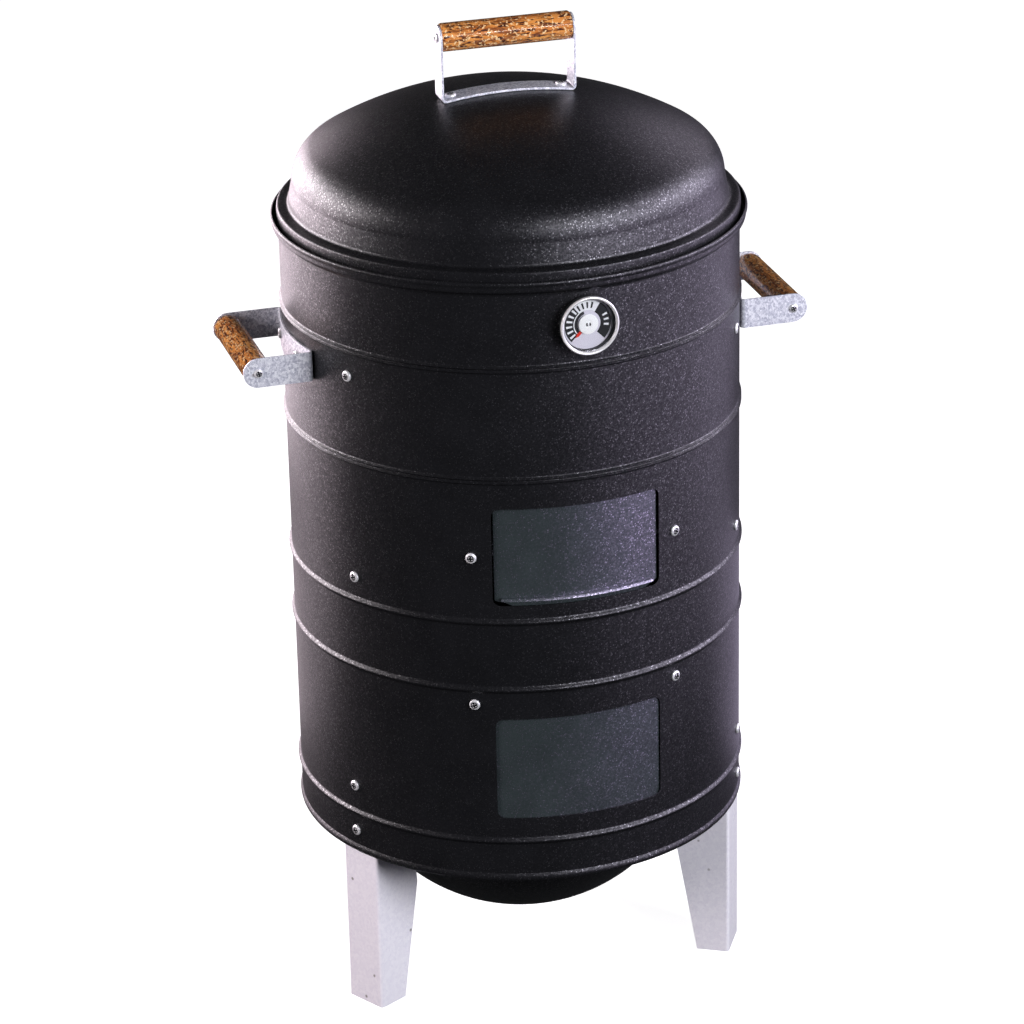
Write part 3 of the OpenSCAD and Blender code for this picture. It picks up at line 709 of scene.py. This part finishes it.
def make_leg(name, node, angle, hand):
    """A bent sheet leg: a flat flange against the wall, a rounded bend and a flange inward.

    inner_edge is the inward flange's edge as (height, radius) in mm. Above it the flat flange goes on alone.
    """
    low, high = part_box(node)
    flange_w, apex, face_r, sheet, bend_r = 41 * MM, 11 * MM, 200.5 * MM, 1.5 * MM, 3.0 * MM
    inner_edge = [(0, 170), (112, 150), (122, 151), (150, 160), (180, 167), (192, 171), (201.2, 171)]
    heights = sorted({h * MM for h, _ in inner_edge} | {i * 12 * MM for i in range(17)})

    def edge_at(z):
        for (z0, r0), (z1, r1) in zip(inner_edge, inner_edge[1:]):
            if z <= z1 * MM + 1e-9:
                return (r0 + (r1 - r0) * (z / MM - z0) / (z1 - z0)) * MM
        return inner_edge[-1][1] * MM

    def section(z, radial):
        """Outer face in plan as (sideways, inward) points: flat flange, bend, tapered flange."""
        points = [(apex - flange_w, 0), ((apex - flange_w) / 2, 0), (apex - bend_r, 0)]
        if radial:
            points += [(apex - bend_r + bend_r * math.sin(math.radians(a)),
                bend_r - bend_r * math.cos(math.radians(a))) for a in range(15, 91, 15)]
            depth = face_r - edge_at(z)
            points += [(apex, bend_r + (depth - bend_r) * i / 3) for i in range(1, 4)]
        return points

    turn = Matrix.Rotation(math.radians(angle), 4, "Z")

    def place(point, z):
        return turn @ Vector((hand * point[0], -face_r + point[1], z))

    bm = bmesh.new()
    rows = [[bm.verts.new(place(p, low.z + z)) for p in section(z, True)] for z in heights]
    top = [bm.verts.new(place(p, high.z)) for p in section(0, False)]
    for one, other in zip(rows, rows[1:]):
        for i in range(len(one) - 1):
            bm.faces.new((one[i], one[i + 1], other[i + 1], other[i]))
    for i in range(len(top) - 1):
        bm.faces.new((rows[-1][i], rows[-1][i + 1], top[i + 1], top[i]))

    def set_up(scratch):
        solid = scratch.modifiers.new("sheet", "SOLIDIFY")
        solid.thickness = sheet
        solid.offset = -1 * hand
        solid.use_even_offset = True
        add_bevel(scratch, 0.3 * MM, 50)
    mesh = evaluated_mesh(name, raw_mesh(name, bm), set_up)
    put_piece(name, mesh, leg_zinc, DRUM, [node])


# ---------- doors ----------

def door_skin(name, r, half_angle, bottom, top, roll, corner):
    """A curved panel with rounded corners, and side edges rolled inward by a radius if roll isn't 0."""
    bm = bmesh.new()
    roll_angle = math.degrees(roll / r)
    flat = half_angle - roll_angle
    columns = [(-half_angle + roll_angle + flat * i / 24, 0.0) for i in range(49)]
    if roll:
        bends = [math.radians(a) for a in range(15, 91, 15)]
        right = [(flat + roll_angle * math.sin(b), roll * (1 - math.cos(b))) for b in bends]
        columns = [(-a, d) for a, d in right[::-1]] + columns + right
    grid = []
    for angle, depth in columns:
        side = r * math.radians(half_angle - abs(angle))
        trim = corner - math.sqrt(max(corner ** 2 - max(corner - side, 0) ** 2, 0))
        low, high = bottom + trim, top - trim
        heights = [low + (high - low) * i / 10 for i in range(11)]
        grid.append([bm.verts.new(wall_point(r - depth, angle, z)) for z in heights])
    for one, other in zip(grid, grid[1:]):
        for i in range(10):
            bm.faces.new((one[i], other[i], other[i + 1], one[i + 1]))

    def set_up(scratch):
        solid = scratch.modifiers.new("sheet", "SOLIDIFY")
        solid.thickness = DOOR_T
        solid.offset = -1
        add_bevel(scratch, 0.25 * MM, 50)
    return evaluated_mesh(name, raw_mesh(name, bm), set_up)


def add_lip(bm, r, half_angle, z, reach):
    """A lip along the bottom of a door: a shelf turned out from the skin, then a hem turned down and in.

    The hem starts with a slope that catches the light, and its ends are cut off at a slant.
    """
    fold, sheet, slope, drop, lean = 1.2 * MM, 0.8 * MM, 1.2 * MM, 5.8 * MM, 0.8 * MM
    front = reach - slope
    section = [(0, 2 * fold), (0.25 * fold, 0.9 * fold), (fold, 0.3 * fold), (front - 0.4 * MM, 0.1 * MM)]
    section += [(front, -0.1 * MM), (reach - 0.2 * MM, -slope * 1.3), (reach, -slope * 1.7)]
    section += [(reach - lean, -drop), (reach - lean - sheet, -drop)]
    section += [(front - sheet, -2.4 * sheet), (0, -sheet)]
    rings = []
    for i in range(61):
        angle = half_angle * (i / 30 - 1)
        from_end = math.radians(half_angle - abs(angle)) * r
        lowest = -2 * sheet - (drop - 2 * sheet) * min(1, from_end / (1.6 * drop))
        rings.append([bm.verts.new(wall_point(r + out, angle, z + max(up, lowest))) for out, up in section])
    close_sweep(bm, rings)


def ear_outline(hinge, r, foot, top, ear_x):
    """Side view of a hinge ear as (y, z) points round its pin."""
    front = 0.3 * MM - math.sqrt(r * r - ear_x * ear_x)
    ear_r = 6 * MM
    if top > hinge.z:
        start, crown = 90, [(front, top)]
    else:
        start, crown = 180, [(front, top), (hinge.y - ear_r, top)]
    around = arc_points((hinge.y, hinge.z), ear_r, start, 0, 10)
    return crown + around + [(hinge.y + ear_r, foot), (front, foot)]


def make_door(name, node, body, hinge, r, half_angle, roll, lip, foot, top):
    """A curved door with two hinge ears, whose foot and top are heights, and a lip if lip isn't 0."""
    low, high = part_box(node)
    skin = door_skin(name, r, half_angle, low.z - (DOOR_UNDER if lip else 0), high.z, roll, 5 * MM)
    bm = bmesh.new()
    bm.from_mesh(skin)
    if lip:
        add_lip(bm, r - DOOR_T, half_angle - 2, low.z + 1.2 * MM, DOOR_T + lip)
    for side in (-1, 1):
        outline = ear_outline(hinge, r, foot, top, 71.8 * MM)
        upright = Matrix(((0, 0, 1, 0), (1, 0, 0, 0), (0, 1, 0, 0), (0, 0, 0, 1)))
        place = Matrix.Translation((side * EAR_X + 0.6 * MM, 0, 0)) @ upright
        ear = mesh_of("ear", solid_prism(outline, EAR_T, place))
        bm.from_mesh(ear)
    bmesh.ops.recalc_face_normals(bm, faces=bm.faces)
    put_piece(name, raw_mesh(name, bm), door_coat, body, [node])


# ---------- pans and grids ----------

def rolled_rim(r, seat):
    """A pan's rim as (radius, height) points, from the height it sits at to its top."""
    return [(r - 2.5 * MM, seat), (r - 0.6 * MM, seat + 0.8 * MM), (r, seat + 2.4 * MM),
        (r - 0.6 * MM, seat + 4 * MM), (r - 2.2 * MM, seat + PAN_RIM_H)]


def make_charcoal_pan():
    low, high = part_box("charcoal_pan")
    sphere_r, seat = 168 * MM, high.z - PAN_RIM_H
    centre_z = low.z + 156 * MM
    flat = math.acos((centre_z - low.z) / sphere_r)
    path = [(0, low.z), (sphere_r * math.sin(flat) - 4 * MM, low.z)]
    path += arc_points((0, centre_z), sphere_r, math.degrees(flat) - 89, -4, 40)
    path += softened([path[-1], (sphere_r + 2 * MM, seat + 0.1 * MM)] + rolled_rim(high.x, seat))[1:]
    mesh = mesh_of("charcoal_bowl", lathe(sheet_profile(path, 1 * MM), 192))
    put_piece("charcoal_bowl", mesh, pan_coat, "fire_pan", ["charcoal_pan"], 40)


def make_water_pan():
    low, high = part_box("water_pan")
    r, seat = high.x, high.z - PAN_RIM_H
    wall = [(r - 44 * MM, low.z), (r - 31 * MM, low.z + 1 * MM), (r - 27 * MM, low.z + 7 * MM)]
    wall += [(r - 17 * MM, seat - 4 * MM), (r - 14 * MM, seat - 0.3 * MM)]
    path = [(0, low.z)] + softened(wall + rolled_rim(r, seat), 3)
    mesh = mesh_of("water_bowl", lathe(sheet_profile(path, 0.8 * MM), 192))
    put_piece("water_bowl", mesh, pan_coat, "water_bowl", ["water_pan"], 40)


def add_wire(bm, start, end, r, sides=12):
    """A straight wire between two points."""
    out = end - start
    length = out.length
    profile = [(0, 0), (r * 0.8, 0), (r, 0.2 * r)]
    profile += [(r, length - 0.2 * r), (r * 0.8, length), (0, length)]
    wire = mesh_of("wire", lathe(profile, sides, False, facing(start, out.normalized())))
    bm.from_mesh(wire)
    bpy.data.meshes.remove(wire)


def make_grid(name, node, body, wire_r, bar_r, pitch):
    """A welded wire grid: a rim ring, parallel bars and two cross wires underneath."""
    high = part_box(node)[1]
    ring_r = high.x - wire_r
    z = high.z - wire_r
    ring = [(ring_r + wire_r * math.cos(math.radians(a)), z + wire_r * math.sin(math.radians(a)))
        for a in range(0, 360, 30)]
    bm = lathe(ring, 144)
    count = int((ring_r - pitch / 2) // pitch)
    for i in range(-count, count + 1):
        y = i * pitch
        x = math.sqrt(ring_r ** 2 - y ** 2)
        add_wire(bm, Vector((-x, y, z)), Vector((x, y, z)), bar_r)
    for x in (-ring_r / 2, ring_r / 2):
        y = math.sqrt(ring_r ** 2 - x ** 2) - 1 * MM
        under = z - 2 * bar_r + 1 * MM
        add_wire(bm, Vector((x, -y, under)), Vector((x, y, under)), bar_r)
    bmesh.ops.recalc_face_normals(bm, faces=bm.faces)
    put_piece(name, raw_mesh(name, bm), wire_chrome, body, [node], 35)


# ---------- thermometer ----------

gauge_low, gauge_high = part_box("thermometer_bezel")
gauge_middle = (gauge_low + gauge_high) / 2
gauge_out = Vector((gauge_middle.x, gauge_middle.y, 0)).normalized()
gauge_place = facing(gauge_out * wall_r + Vector((0, 0, gauge_middle.z)), gauge_out)
CASE_R = 24.4 * MM
DIAL_Z = 3.6 * MM                          # face of the dial above the drum's wall


def gauge_piece(name, bm, material, nodes=(), body=DRUM, sharp=32):
    """A piece made with its axis along Z and the drum's wall at z = 0."""
    bmesh.ops.transform(bm, matrix=gauge_place, verts=bm.verts)
    put_piece(name, mesh_of(name, bm), material, body, nodes, sharp)


def ring_sector(r_in, r_out, start, end, z_low, z_high):
    """A flat sector of a ring. Angles in degrees, clockwise from the top of the dial."""
    bm = bmesh.new()
    steps = max(int(abs(end - start) / 4), 2)
    rings = []
    for i in range(steps + 1):
        a = math.radians(90 - (start + (end - start) * i / steps))
        corners = ((r_in, z_low), (r_out, z_low), (r_out, z_high), (r_in, z_high))
        rings.append([bm.verts.new((r * math.cos(a), r * math.sin(a), z)) for r, z in corners])
    close_sweep(bm, rings)
    return bm


def joined(parts):
    """One bmesh of several, which are freed."""
    bm = bmesh.new()
    for part in parts:
        mesh = mesh_of("part", part)
        bm.from_mesh(mesh)
        bpy.data.meshes.remove(mesh)
    return bm


def make_thermometer():
    """A dial with plain zones, marks in place of words and a painted shadow of the hub, in a ringed case."""
    outer = (gauge_high.z - gauge_low.z) / 2
    # The bezel's lower cone is black: a painted dark reflection of the drum in the chrome, below the bright
    # ring.
    skirt = [(CASE_R + 0.1 * MM, 3 * MM), (CASE_R + 1 * MM, 3 * MM), (outer - 0.5 * MM, 4 * MM)]
    skirt += [(outer - 0.2 * MM, 8.2 * MM), (CASE_R + 0.1 * MM, 8.2 * MM)]
    gauge_piece("gauge_skirt", lathe(skirt, 96), dial_black, ["thermometer_bezel"], sharp=40)
    ring = arc_points((outer - 1.1 * MM, 9.9 * MM), 1.1 * MM, 0, 165, 14)
    ring += [(23.4 * MM, 9.7 * MM), (23.2 * MM, 9.4 * MM), (CASE_R + 0.1 * MM, 9.3 * MM)]
    ring += [(CASE_R + 0.1 * MM, 8.3 * MM), (outer, 8.3 * MM)]
    gauge_piece("gauge_ring", lathe(ring, 96), ring_chrome, ["thermometer_bezel"], sharp=40)
    wall = [(4.3 * MM, 0.2 * MM), (CASE_R - 1 * MM, 0.2 * MM), (CASE_R, 1.2 * MM), (CASE_R, 9.2 * MM)]
    wall += [(CASE_R - 1.2 * MM, 9.2 * MM), (CASE_R - 1.2 * MM, 2.4 * MM), (CASE_R - 2.2 * MM, 1.4 * MM)]
    wall += [(4.3 * MM, 1.4 * MM)]
    gauge_piece("gauge_case", lathe(wall, 96), gauge_chrome, ["thermometer_case"], sharp=40)
    # A black ring round the dial inside the case: painted shade on the case's inner wall.
    shroud = [(CASE_R - 1.9 * MM, DIAL_Z + 0.1 * MM), (CASE_R - 1.3 * MM, DIAL_Z + 0.1 * MM)]
    shroud += [(CASE_R - 1.3 * MM, 7.7 * MM), (CASE_R - 1.9 * MM, 7.7 * MM)]
    gauge_piece("gauge_shroud", lathe(shroud, 96), dial_black, sharp=40)
    face_r = CASE_R - 1.3 * MM
    face = [(1.6 * MM, 3 * MM), (face_r, 3 * MM), (face_r, DIAL_Z), (1.6 * MM, DIAL_Z)]
    gauge_piece("gauge_dial", lathe(face, 96), dial_silver, ["thermometer_dial"])
    top, print_h = DIAL_Z, DIAL_Z + 0.12 * MM
    warm = ring_sector(12.9 * MM, 20.8 * MM, -135, -38, top, print_h)
    hot = ring_sector(11.4 * MM, 20.8 * MM, 32, 135, top, print_h)
    gauge_piece("gauge_dark_zones", joined([warm, hot]), dial_black)
    ideal = ring_sector(12.2 * MM, 20.8 * MM, -38, 32, top, print_h)
    frame_ring = ring_sector(12.0 * MM, 12.8 * MM, -135, -38, top, print_h)
    gauge_piece("gauge_light_zone", joined([ideal, frame_ring]), dial_white)
    marks_z = (print_h, print_h + 0.12 * MM)
    light = [ring_sector(14 * MM, 19.4 * MM, a - 3, a + 3, *marks_z) for a in range(-126, -38, 16)]
    light += [ring_sector(14.4 * MM, 18.8 * MM, a - 3, a + 3, *marks_z) for a in (66, 82, 98)]
    gauge_piece("gauge_light_marks", joined(light), dial_white)
    dark = [ring_sector(14 * MM, 19.4 * MM, a - 2.6, a + 2.6, *marks_z) for a in (-29, -15, -1, 13)]
    # A black crescent round the hub's left side: painted shadow of the hub disc on the dial.
    shade = ring_sector(9.4 * MM, 12.0 * MM, -128, -18, top, print_h)
    gauge_piece("gauge_dark_marks", joined(dark + [shade]), dial_black)

    disc = [(0, 5.0 * MM), (8.2 * MM, 4.9 * MM), (8.8 * MM, 5.1 * MM), (8.8 * MM, 5.4 * MM)]
    disc += [(8.2 * MM, 5.7 * MM), (3.4 * MM, 5.9 * MM), (2.9 * MM, 5.5 * MM)]
    disc += [(1.2 * MM, 5.5 * MM), (0, 6.1 * MM)]
    post = lathe([(0, 3 * MM), (1.45 * MM, 3 * MM), (1.45 * MM, 5 * MM), (0, 5 * MM)], 32, False)
    gauge_piece("gauge_hub", joined([lathe(disc, 72, False), post]), hub_silver,
        ["thermometer_hub"])
    pin = [ring_sector(0.9 * MM, 2.1 * MM, a - 50, a + 50, 5.3 * MM, 6.0 * MM) for a in (-90, 90)]
    gauge_piece("gauge_hub_slot", joined(pin), dial_black)

    tail = 0.9 * MM                        # the pointer's upper face above the dial
    outline = [(-1.5, -2.6), (-1.3, -13), (0, -16), (1.3, -13), (1.5, -2.6)]
    outline = [(x * MM, y * MM) for x, y in outline]
    blade = solid_prism(outline, 0.5 * MM, Matrix.Rotation(math.radians(-45), 4, "Z") @ Matrix.Translation(
        (0, 0, DIAL_Z + tail)))
    boss = lathe([(2 * MM, DIAL_Z + 0.4 * MM), (4 * MM, DIAL_Z + 0.4 * MM), (4 * MM, DIAL_Z + tail),
        (2 * MM, DIAL_Z + tail)], 40)
    gauge_piece("gauge_pointer", joined([blade, boss]), pointer_paint,
        ["thermometer_pointer"], "gauge_needle")
    r = CASE_R - 1.4 * MM
    lens = [(0, 7.8 * MM), (r, 7.8 * MM), (r, 9.0 * MM), (0, 9.0 * MM)]
    gauge_piece("gauge_lens", lathe(lens, 96, False), lens_glass, ["thermometer_lens"])


# ---------- CAD nodes that stay ----------

def dress(node, material, edge=0.0, sharp=32):
    """Gives a CAD node its material, smooth shading and, if edge isn't 0, a soft edge."""
    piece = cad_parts[node]
    piece.data.materials.clear()
    piece.data.materials.append(material)
    for face in piece.data.polygons:
        face.use_smooth = True
    weld = piece.modifiers.new("weld", "WELD")
    weld.merge_threshold = 2e-6
    if edge:
        add_bevel(piece, edge, 40)
    split = piece.modifiers.new("sharp", "EDGE_SPLIT")
    split.split_angle = math.radians(sharp)


# ---------- camera, floor and light ----------

def place_camera():
    """A long lens, a little to the left of the front and above the lid."""
    data = bpy.data.cameras.new("camera")
    data.sensor_width = 36
    data.lens = 144.47
    data.clip_start = 0.1
    data.clip_end = 100
    camera = bpy.data.objects.new("camera", data)
    bpy.context.scene.collection.objects.link(camera)
    right = Vector((0.95936892, -0.2814448, -0.02000232))
    up = Vector((0.12775367, 0.37008073, 0.92017349))
    back = right.cross(up).normalized()
    turn = Matrix((right, up, back)).transposed().to_4x4()
    camera.matrix_world = Matrix.Translation((-0.94498, -3.31517, 1.89260)) @ turn
    bpy.context.scene.camera = camera


def softbox(name, place, aim, width, height, power, colour):
    """A rectangular studio light at one point, turned towards another."""
    data = bpy.data.lights.new(name, "AREA")
    data.shape = "RECTANGLE"
    data.size = width
    data.size_y = height
    data.energy = power
    data.color = colour
    light = bpy.data.objects.new(name, data)
    bpy.context.scene.collection.objects.link(light)
    light.location = place
    light.rotation_mode = "QUATERNION"
    light.rotation_quaternion = (Vector(aim) - Vector(place)).to_track_quat("-Z", "Y")
    return light


def light_studio(unlit):
    """Cards round the object make its reflections and nothing else, and two fills give the rest.

    All cards but the streak pass over the pieces in the unlit collection, which are marked there as left out.
    """
    pink, lilac = (1.0, 0.84, 0.93), (0.82, 0.71, 1.0)
    middle, lid = (0, 0, 0.5), (0, 0, 0.8)
    cards = [
        softbox("card_left", (-0.80, 1.02, 0.71), middle, 1.5, 0.76, 24, pink),
        softbox("card_left_foot", (-0.80, 1.02, 0.16), middle, 1.5, 0.30, 4.5, pink),
        softbox("card_left_low", (-0.43, 0.40, 0.11), (-0.2, 0, 0.2), 0.6, 0.2, 0.35, pink),
        softbox("card_left_high", (-1.35, 0.95, 1.05), lid, 1.9, 0.6, 34, (1.0, 0.93, 0.97)),
        softbox("card_right", (1.14, -0.38, 0.50), middle, 2.8, 1.05, 14.5, lilac),
        softbox("card_right_low", (0.47, 0.20, 0.12), (0.18, -0.1, 0.2), 0.5, 0.24, 0.3, lilac),
        softbox("card_side_high", (1.68, -0.24, 1.26), lid, 1.5, 0.8, 31, (0.86, 0.80, 1.0)),
        softbox("card_front_high", (0.92, -1.44, 1.26), lid, 1.5, 0.8, 31, (0.86, 0.84, 1.0)),
        softbox("card_back_high", (1.60, 1.20, 1.60), lid, 1.2, 0.8, 5, (0.90, 0.80, 1.0)),
        softbox("card_streak", (0.50, -1.75, 1.45), lid, 0.7, 0.05, 4, (1, 1, 1)),
    ]
    for card in cards:
        card.visible_diffuse = False
        card.visible_camera = False
        if card.name != "card_streak":
            card.light_linking.receiver_collection = unlit
    fills = [
        softbox("fill_key", (1.6, -2.8, 1.6), (0, 0, 0.4), 1.4, 1.4, 132, (0.93, 0.94, 1.0)),
        softbox("fill_left", (-2.6, -0.45, 1.2), (0, 0, 0.4), 1.2, 1.2, 72, (1.0, 0.92, 0.96)),
    ]
    for fill in fills:
        fill.visible_glossy = False
    world = bpy.data.worlds.new("studio")
    world.use_nodes = True
    background = world.node_tree.nodes["Background"]
    background.inputs["Color"].default_value = (0.9, 0.93, 1.0, 1)
    background.inputs["Strength"].default_value = 0.03
    bpy.context.scene.world = world
    bpy.context.scene.view_settings.view_transform = "Standard"


def make_floor():
    """A pale glowing floor that neither mirrors in the object nor colours it."""
    bpy.ops.mesh.primitive_plane_add(size=14)
    floor = bpy.context.object
    floor.name = "floor"
    material = bpy.data.materials.new("floor_paper")
    material.use_nodes = True
    shader = material.node_tree.nodes["Principled BSDF"]
    paper = {"Base Color": (0.88, 0.88, 0.88, 1), "Roughness": 0.9,
        "Emission Color": (1, 1, 1, 1), "Emission Strength": 0.9}
    for key, value in paper.items():
        shader.inputs[key].default_value = value
    floor.data.materials.append(material)
    floor.visible_glossy = False
    floor.visible_diffuse = False


# ---------- the object ----------

place_camera()
make_floor()

make_drum()
make_lid()
make_side_bracket(1, "right_bracket", "right_handle_bracket")
make_side_bracket(-1, "left_bracket", "left_handle_bracket")
make_lid_bracket()
make_grip("right_grip", "right_handle_grip", DRUM, wood_y)
make_grip("left_grip", "left_handle_grip", DRUM, wood_y)
make_grip("lid_grip", "lid_handle_grip", LID, wood_x)

for node_name in ("leg_bolts", "support_bolts", "door_bolts", "left_bracket_bolts", "right_bracket_bolts"):
    make_fasteners(node_name + "_detailed", node_name, DRUM, bolt_head, from_axis)
make_fasteners("lid_bolts_detailed", "lid_bracket_bolts", LID, bolt_head, from_dome)
for node_name in ("left_grip_screws", "right_grip_screws"):
    make_fasteners(node_name + "_detailed", node_name, DRUM, screw_head, lambda p: Vector((0, p.y, 0)))
make_fasteners("lid_screws_detailed", "lid_grip_screws", LID, screw_head, lambda p: Vector((p.x, 0, 0)))

make_leg("left_leg", "leg_left", -60, 1)
make_leg("right_leg", "leg_right", 60, -1)
make_leg("back_leg", "leg_rear", 180, 1)

upper_hinge = Vector((0, -179 * MM, 471 * MM))
lower_hinge = Vector((0, -179 * MM, 331 * MM))
make_door("upper_flap_door", "upper_door", "upper_flap", upper_hinge, 201.6 * MM, 21.7, 1.6 * MM, 4.4 * MM,
    upper_hinge.z - 9 * MM, upper_hinge.z + 6 * MM)
make_door("lower_flap_door", "lower_door", "lower_flap", lower_hinge, 202.2 * MM, 23.6, 0, 0,
    lower_hinge.z - 28 * MM, lower_hinge.z - 12 * MM)

make_charcoal_pan()
make_water_pan()
make_grid("top_grid", "upper_grid", "top_rack", 3 * MM, 2 * MM, 20 * MM)
make_grid("middle_grid", "lower_grid", "middle_rack", 3 * MM, 2 * MM, 20 * MM)
make_grid("fire_grid", "charcoal_grate", "fire_grate", 2.5 * MM, 2 * MM, 16 * MM)
make_thermometer()

for node_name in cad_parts:
    if node_name.endswith(("nuts", "nut", "pins", "stem")):
        dress(node_name, bolt_zinc)
    elif "support" in node_name and "bolts" not in node_name or "hinge" in node_name:
        dress(node_name, inner_zinc, 0.3 * MM)

for member in grips.collection_objects:
    member.light_linking.link_state = "EXCLUDE"
light_studio(grips)
